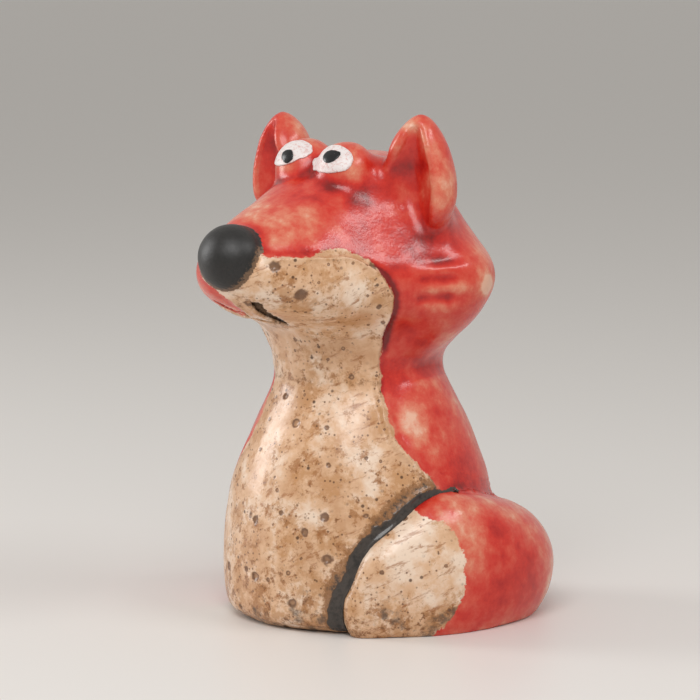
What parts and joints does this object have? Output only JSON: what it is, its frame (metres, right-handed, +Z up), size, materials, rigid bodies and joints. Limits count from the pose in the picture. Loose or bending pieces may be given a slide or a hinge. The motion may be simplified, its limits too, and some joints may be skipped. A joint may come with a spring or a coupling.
{
  "type": "fox figurine",
  "caption": "Small seated fox ornament of glazed earthenware with a round nose, pricked ears, cream mask and chest and a tail curled round its side; stands on a flat foot.",
  "frame": {"origin": "on the standing surface, on the upright axis of the body", "axes": "+Z up; the fox looks along -Y, with its snout turned a little to its right; +X is the fox's left"},
  "size_m": [0.0408, 0.0482, 0.064],
  "materials": {
    "red_glaze": "gloss",
    "cream_clay": "satin",
    "black_slip": "matte",
    "white_enamel": "satin",
    "black_enamel": "gloss",
    "dark_glaze": "gloss"
  },
  "bodies": {
    "root": {"body": "red_glaze", "head": "red_glaze", "left_ear": "red_glaze", "right_ear": "red_glaze", "left_eyeball": "red_glaze", "right_eyeball": "red_glaze", "tail": "red_glaze", "tail_tip": "cream_clay", "face_mask": "cream_clay", "chest_bib": "cream_clay", "nose": "black_slip", "left_eye_white": "white_enamel", "right_eye_white": "white_enamel", "left_pupil": "black_enamel", "right_pupil": "black_enamel", "tail_crease_glaze": "dark_glaze"}
  },
  "joints": []
}
